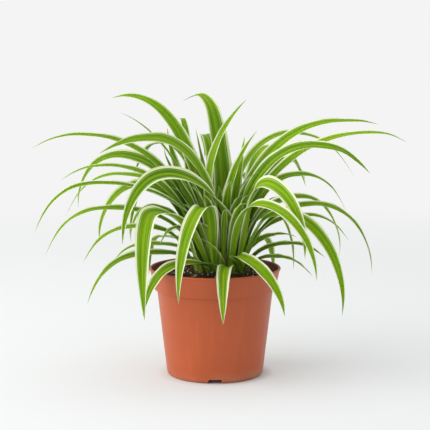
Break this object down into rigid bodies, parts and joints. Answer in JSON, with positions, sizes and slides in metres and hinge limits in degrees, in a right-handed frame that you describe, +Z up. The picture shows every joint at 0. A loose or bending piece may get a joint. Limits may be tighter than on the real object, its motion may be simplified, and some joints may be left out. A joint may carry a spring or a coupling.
{
  "type": "potted spider plant",
  "caption": "Young variegated spider plant: a rosette of long arching cream-edged leaves over soil in a tapered plastic nursery pot with a banded rim and a vented foot.",
  "frame": {"origin": "middle of the flat disc under the pot, level with the surface that it stands on", "axes": "+Z up, -Y towards the plant's front, +X to the front view's right"},
  "size_m": [0.334, 0.2395, 0.2547],
  "materials": {
    "pot_plastic": "satin moulded plastic, terracotta colour",
    "soil_mix": "matt dark potting mix with pale grit and fibres",
    "crown_stock": "matt, pale yellow-green",
    "leaf_blade": "satin green blade with cream margins"
  },
  "bodies": {
    "root": {"crown": "crown_stock", "leaf_back_01": "leaf_blade", "leaf_back_02": "leaf_blade", "leaf_back_03": "leaf_blade", "leaf_back_04": "leaf_blade", "leaf_back_05": "leaf_blade", "leaf_back_06": "leaf_blade", "leaf_back_07": "leaf_blade", "leaf_centre_01": "leaf_blade", "leaf_centre_02": "leaf_blade", "leaf_centre_03": "leaf_blade", "leaf_centre_04": "leaf_blade", "leaf_centre_05": "leaf_blade", "leaf_centre_06": "leaf_blade", "leaf_centre_07": "leaf_blade", "leaf_front_01": "leaf_blade", "leaf_front_02": "leaf_blade", "leaf_front_03": "leaf_blade", "leaf_front_04": "leaf_blade", "leaf_front_05": "leaf_blade", "leaf_front_06": "leaf_blade", "leaf_front_07": "leaf_blade", "leaf_left_01": "leaf_blade", "leaf_left_02": "leaf_blade", "leaf_left_03": "leaf_blade", "leaf_left_04": "leaf_blade", "leaf_left_05": "leaf_blade", "leaf_left_06": "leaf_blade", "leaf_left_07": "leaf_blade", "leaf_left_08": "leaf_blade", "leaf_left_09": "leaf_blade", "leaf_left_10": "leaf_blade", "leaf_left_11": "leaf_blade", "leaf_left_12": "leaf_blade", "leaf_left_13": "leaf_blade", "leaf_left_14": "leaf_blade", "leaf_left_15": "leaf_blade", "leaf_left_16": "leaf_blade", "leaf_right_01": "leaf_blade", "leaf_right_02": "leaf_blade", "leaf_right_03": "leaf_blade", "leaf_right_04": "leaf_blade", "leaf_right_05": "leaf_blade", "leaf_right_06": "leaf_blade", "leaf_right_07": "leaf_blade", "leaf_right_08": "leaf_blade", "leaf_right_09": "leaf_blade", "leaf_right_10": "leaf_blade", "leaf_right_11": "leaf_blade", "leaf_right_12": "leaf_blade", "leaf_right_13": "leaf_blade", "leaf_right_14": "leaf_blade", "leaf_right_15": "leaf_blade", "leaf_right_16": "leaf_blade", "leaf_right_17": "leaf_blade", "leaf_right_18": "leaf_blade", "leaf_right_19": "leaf_blade", "pot": "pot_plastic", "soil": "soil_mix", "young_shoot_01": "leaf_blade"}
  },
  "joints": []
}
